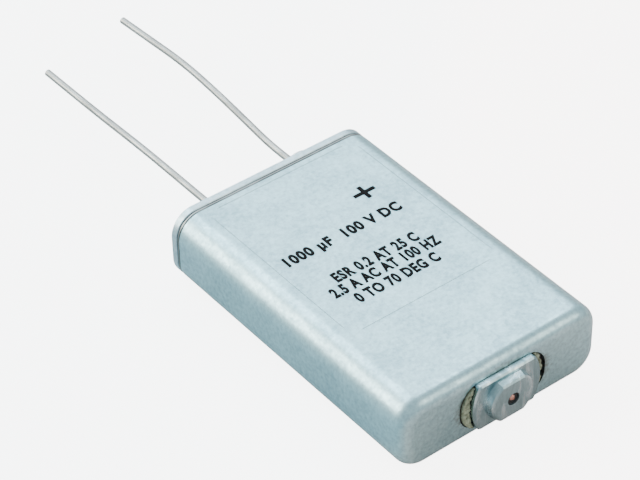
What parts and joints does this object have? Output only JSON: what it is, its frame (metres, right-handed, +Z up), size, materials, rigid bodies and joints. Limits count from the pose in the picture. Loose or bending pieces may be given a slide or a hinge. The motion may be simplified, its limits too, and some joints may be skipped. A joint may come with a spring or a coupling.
{
  "type": "electrolytic capacitor",
  "caption": "Flat rectangular aluminium electrolytic capacitor with a welded header, two wire leads at one end and a vent fitting at the other.",
  "frame": {"origin": "centre of the case's flat bottom face, which rests on the board", "axes": "+X across the case's width towards the positive lead, +Y along the length towards the leads, +Z up through the thickness"},
  "size_m": [0.0382, 0.1151, 0.0131],
  "materials": {
    "case_aluminium": "matt etched",
    "header_aluminium": "satin",
    "weld_aluminium": "weld bead, dull",
    "turned_aluminium": "turned, satin",
    "machined_aluminium": "milled, satin",
    "aluminium_foil": "etched foil",
    "tinned_copper": "bright tin plate",
    "bare_copper": "bare copper, dull",
    "black_rubber": "matt",
    "sealing_cement": "rough cement",
    "wound_foil_and_paper": "paper over etched foil",
    "clear_tape": "clear yellowish",
    "insulating_film": "satin film",
    "insulating_card": "pressed card",
    "clear_film": "clear, satin"
  },
  "bodies": {
    "root": {"case_can": "case_aluminium", "header": "header_aluminium", "weld_bead": "weld_aluminium", "positive_ferrule": "turned_aluminium", "positive_bushing": "black_rubber", "positive_pin": "turned_aluminium", "positive_lead": "tinned_copper", "positive_tab": "aluminium_foil", "negative_stud": "turned_aluminium", "negative_lead": "tinned_copper", "negative_tab": "aluminium_foil", "vent_gasket": "black_rubber", "vent_body": "machined_aluminium", "vent_plug": "black_rubber", "vent_pin": "bare_copper", "vent_sealant": "sealing_cement", "winding": "wound_foil_and_paper", "winding_tape": "clear_tape", "case_liner": "insulating_film", "end_pad": "insulating_card", "header_insulator": "insulating_card", "label_film": "clear_film"}
  },
  "joints": []
}
